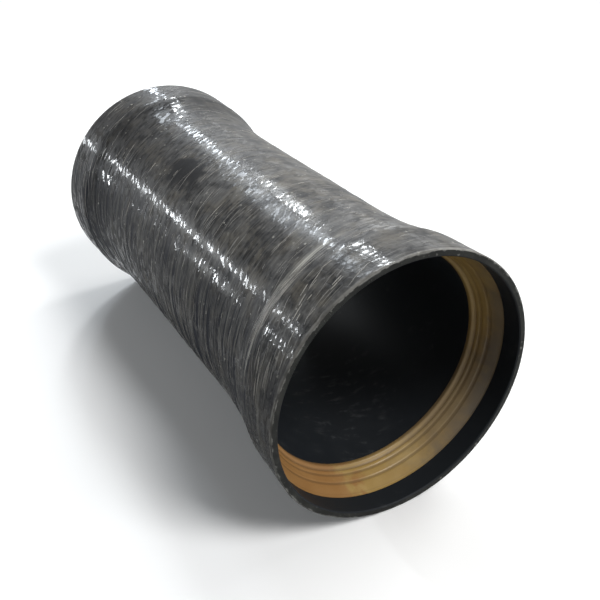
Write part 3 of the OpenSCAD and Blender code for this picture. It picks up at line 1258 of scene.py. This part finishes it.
def drop_on_skin(tree, given, turn, along_axis):
    """Where a ray towards the axis meets the sleeve, and the skin's normal there."""
    sine, cosine = calc(tree, "SINE", turn), calc(tree, "COSINE", turn)
    start = add(tree, "ShaderNodeCombineXYZ", {
        0: calc(tree, "MULTIPLY", sine, 2 * MOUTH_RADIUS), 1: along_axis,
        2: calc(tree, "MULTIPLY_ADD", cosine, 2 * MOUTH_RADIUS, AXIS_HEIGHT)}).outputs[0]
    inwards = add(tree, "ShaderNodeCombineXYZ", {
        0: calc(tree, "MULTIPLY", sine, -1.0), 2: calc(tree, "MULTIPLY", cosine, -1.0)}).outputs[0]
    skin = add(tree, "GeometryNodeObjectInfo", {"Object": given["Sleeve"]}).outputs["Geometry"]
    hit = add(tree, "GeometryNodeRaycast", {
        "Target Geometry": skin, "Source Position": start,
        "Ray Direction": inwards, "Ray Length": 2 * MOUTH_RADIUS}).outputs
    return hit["Hit Position"], hit["Hit Normal"]


# %% [markdown]
# ## Threads along the paths
#
# A thin section is swept along each path, nearly half sunk in the skin, as the
# last coat of resin would hold it. Five sides are enough at a few tenths of a
# millimetre. Each thread tapers at both ends, because a cut end would catch the
# light like a wire.

# %% A Geometry Nodes tree that lays fibres on the sleeve
FIBRE_SIDES = 5
SUNK = 0.45
BLUNT_END = 0.15


def tapered(tree, share):
    """1 in the middle of a fibre and BLUNT_END at both ends, round like a half circle."""
    rise = calc(tree, "MULTIPLY", calc(tree, "MULTIPLY", share, 4.0), calc(tree, "SUBTRACT", 1.0, share))
    return calc(tree, "MULTIPLY_ADD", calc(tree, "SQRT", rise), 1 - BLUNT_END, BLUNT_END)


def build_fibre_laying():
    tree, given, result = new_group(
        "Laid fibres", "GeometryNodeTree",
        [("Geometry", "Geometry", None), ("Sleeve", "Object", None),
         ("Count", "Int", 100), ("Seed", "Int", 1),
         ("Depth from", "Float", 0.0), ("Depth to", "Float", 0.2),
         ("Angle from", "Float", 0.0), ("Angle to", "Float", 2 * math.pi),
         ("Shortest", "Float", 5 * MM), ("Longest", "Float", 30 * MM),
         ("Thinnest", "Float", 0.1 * MM), ("Thickest", "Float", 0.4 * MM),
         ("Lean", "Float", 0.2), ("Lean spread", "Float", 0.1),
         ("Wander", "Float", 0.5 * MM), ("Material", "Material", None)],
        [("Geometry", "Geometry")])
    threads = scattered_lines(tree, given)
    share = add(tree, "GeometryNodeSplineParameter").outputs["Factor"]
    on_skin, normal = drop_on_skin(tree, given, *path_round_sleeve(tree, given, share))
    thick = calc(tree, "MULTIPLY", read(tree, "FLOAT", "thick"), tapered(tree, share))
    sink = add(tree, "ShaderNodeVectorMath", {0: normal, 3: calc(tree, "MULTIPLY", thick, -SUNK)},
               operation="SCALE").outputs[0]
    half_sunk = add(tree, "ShaderNodeVectorMath", {0: on_skin, 1: sink}, operation="ADD").outputs[0]
    laid = add(tree, "GeometryNodeSetPosition", {"Geometry": threads, "Position": half_sunk}).outputs[0]
    section = add(tree, "GeometryNodeCurvePrimitiveCircle", {"Resolution": FIBRE_SIDES}).outputs[0]
    swept = add(tree, "GeometryNodeCurveToMesh", {
        "Curve": laid, "Profile Curve": section, "Scale": thick, "Fill Caps": True}).outputs[0]
    whole = add(tree, "GeometryNodeRealizeInstances", {0: swept}).outputs[0]
    finished = add(tree, "GeometryNodeSetMaterial", {"Geometry": whole, "Material": given["Material"]})
    tree.links.new(finished.outputs[0], result["Geometry"])
    return tree


fibre_laying = build_fibre_laying()
print("the laying tree has", len(fibre_laying.nodes), "nodes")

# %% [markdown]
# ## Three lots of fibre
#
# One tree lays all of them, with other values each time. Stray fibres lie all
# over the sleeve. A loose tow of thicker ones crosses the shoulder of the near
# bell, and a few short ends lie near its lip, where the winding turned back.

# %% Lay the fibres
def lay_fibres(name, **choices):
    """Lays one lot of fibres as its own piece. choices are the tree's inputs, by name."""
    values = {"Sleeve": sleeve, "Material": stray_glass}
    values.update({key.replace("_", " "): value for key, value in choices.items()})
    fibres = grow(name, bpy.data.meshes.new(name + "_start"), fibre_laying, values)
    fibres.data.shade_smooth()
    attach(fibres, "root")


lay_fibres("stray_fibres", Count=580, Seed=3, Depth_from=6 * MM, Depth_to=LENGTH - 6 * MM,
           Angle_from=-math.pi, Angle_to=math.pi, Shortest=2.5 * MM, Longest=26 * MM,
           Thinnest=0.12 * MM, Thickest=0.34 * MM, Lean=LEAN, Lean_spread=0.16, Wander=2.4 * MM)
lay_fibres("shoulder_tow", Count=30, Seed=17,
           Depth_from=SHOULDER_DEPTH + 2 * MM, Depth_to=SHOULDER_DEPTH + 8 * MM,
           Angle_from=math.radians(-60), Angle_to=math.radians(-30), Shortest=14 * MM, Longest=44 * MM,
           Thinnest=0.2 * MM, Thickest=0.45 * MM, Lean=0.03, Lean_spread=0.05, Wander=2.0 * MM)
lay_fibres("lip_tow", Count=36, Seed=29, Depth_from=5 * MM, Depth_to=22 * MM,
           Angle_from=math.radians(-85), Angle_to=math.radians(-18), Shortest=5 * MM, Longest=18 * MM,
           Thinnest=0.2 * MM, Thickest=0.4 * MM, Lean=0.3, Lean_spread=0.12, Wander=2.0 * MM)

# %% [markdown]
# ## The floor
#
# A pale matt floor stands in for a studio's paper roll. The camera sees it nearly
# white, while the light that bounces off it is dimmer, so that the lamps can
# shape the object. Far from the object it fades into pure white, or its edge
# would show as a dark line in a view from low down.

# %% Floor
FLOOR_HALF = 8.0
FLOOR_COLOUR = (0.93, 0.93, 0.925)
FLOOR_BOUNCE = (0.3, 0.3, 0.3)
FLOOR_FADES = (0.6, 1.4)
BLACK, WHITE = (0.0, 0.0, 0.0), (1.0, 1.0, 1.0)


def seen_directly(tree):
    """1 for a camera, mirror or glass ray, and 0 for diffuse light."""
    path = tree.nodes.new("ShaderNodeLightPath").outputs
    mirror = calc(tree, "MAXIMUM", path["Is Glossy Ray"], path["Is Transmission Ray"])
    return calc(tree, "MAXIMUM", path["Is Camera Ray"], mirror)


def make_floor():
    mesh = bpy.data.meshes.new("floor")
    corners = [(x * FLOOR_HALF, y * FLOOR_HALF, 0) for x, y in ((-1, -1), (1, -1), (1, 1), (-1, 1))]
    mesh.from_pydata(corners, [], [(0, 1, 2, 3)])
    floor = bpy.data.objects.new("floor", mesh)
    material, tree, shader, at = new_material("pale_floor", Roughness=0.9, Specular_IOR_Level=0.0,
                                              Emission_Strength=1.0)
    seen = seen_directly(tree)
    distance = add(tree, "ShaderNodeVectorMath", {0: at}, operation="LENGTH").outputs["Value"]
    far_off = calc(tree, "MULTIPLY", seen, soft_step(tree, distance, *FLOOR_FADES))
    colour = blend_colour(tree, seen, FLOOR_BOUNCE, FLOOR_COLOUR)
    tree.links.new(blend_colour(tree, far_off, colour, BLACK), shader.inputs["Base Color"])
    tree.links.new(blend_colour(tree, far_off, BLACK, WHITE), shader.inputs["Emission Color"])
    mesh.materials.append(material)
    bpy.context.scene.collection.objects.link(floor)
    return floor


make_floor()
print("floor fades to white from", FLOOR_FADES[0], "to", FLOOR_FADES[1], "m out")

# %% [markdown]
# ## The surround
#
# The world is white to the camera and in mirror-like reflections, as a light
# tent would be, but gives diffuse light only a little. One strength for both
# would either grey the background or flatten the object's shading.

# %% World
SURROUND_LIGHT = 0.12

world = bpy.data.worlds.new("surround")
bpy.context.scene.world = world
world.use_nodes = True
sky = world.node_tree
background = sky.nodes["Background"].inputs
sky.links.new(blend_value(sky, seen_directly(sky), SURROUND_LIGHT, 1.0), background["Strength"])
background["Color"].default_value = (*WHITE, 1.0)
print("the surround gives diffuse light a strength of", SURROUND_LIGHT)

# %% [markdown]
# ## Lamps
#
# Soft boxes give the form: one in front, one at the side, a dim one behind. The
# shiny skin needs something to mirror, so long, narrow lamps stand where their
# mirror images run along the sleeve, and small ones are mirrored by the beads
# on the near bell. Each lamp is set by two directions and its width in degrees,
# since that is what its mirror image depends on.

# %% Lamps
LAMP_DISTANCE = 2.5
MIDDLE = Vector((0, 0, AXIS_HEIGHT))


def toward(side, up):
    """A point at the lamps' distance. side and up are in degrees, as direction takes them."""
    return MIDDLE + direction(math.radians(side), math.radians(up)) * LAMP_DISTANCE


def lamp(name, start, end, width, radiance, colour):
    """A rectangular lamp between two directions, as wide as the given angle, that faces the sleeve."""
    first, last = toward(*start), toward(*end)
    data = bpy.data.lights.new(name, "AREA")
    data.shape = "RECTANGLE"
    data.size = (last - first).length
    data.size_y = 2 * LAMP_DISTANCE * math.tan(math.radians(width / 2))
    data.energy = radiance * math.pi * data.size * data.size_y
    data.color = colour
    made = bpy.data.objects.new(name, data)
    centre = (first + last) / 2
    back = (centre - MIDDLE).normalized()
    along = (last - first - back * (last - first).dot(back)).normalized()
    made.matrix_world = Matrix((along, back.cross(along), back)).transposed().to_4x4()
    made.location = centre
    bpy.context.scene.collection.objects.link(made)


COLD, COOL, NEUTRAL = (0.86, 0.93, 1.0), (0.93, 0.97, 1.0), WHITE

lamp("front_softbox", (138, 48), (168, 48), 26, 17, NEUTRAL)
lamp("side_softbox", (65, 32), (95, 32), 26, 8, NEUTRAL)
lamp("rear_softbox", (16, 38), (48, 6), 44, 0.95, COOL)
lamp("long_strip_far", (16, 20), (14, 27), 3.4, 31, COLD)
lamp("long_strip_near", (14, 27), (12, 34), 3.4, 15, COLD)
lamp("short_strip_far", (-20, 7.3), (-28.5, 12.6), 2.6, 38, COOL)
lamp("short_strip_near", (-28.5, 12.6), (-37, 18), 2.8, 90, COOL)
lamp("mouth_glow", (2, 39), (12, 37), 7, 23, COLD)
lamp("mouth_glint", (17.5, 35.5), (24, 33.5), 6, 95, COOL)
lamp("side_glint", (-37, 4), (-38, 8), 3.4, 150, COOL)

lamps = [made for made in bpy.context.scene.objects if made.type == "LIGHT"]
print(len(lamps), "lamps, all", LAMP_DISTANCE, "m away")

# %% [markdown]
# ## The view transform
#
# The Standard view transform keeps the colours as they were set.

# %% Finish
bpy.context.scene.view_settings.view_transform = "Standard"
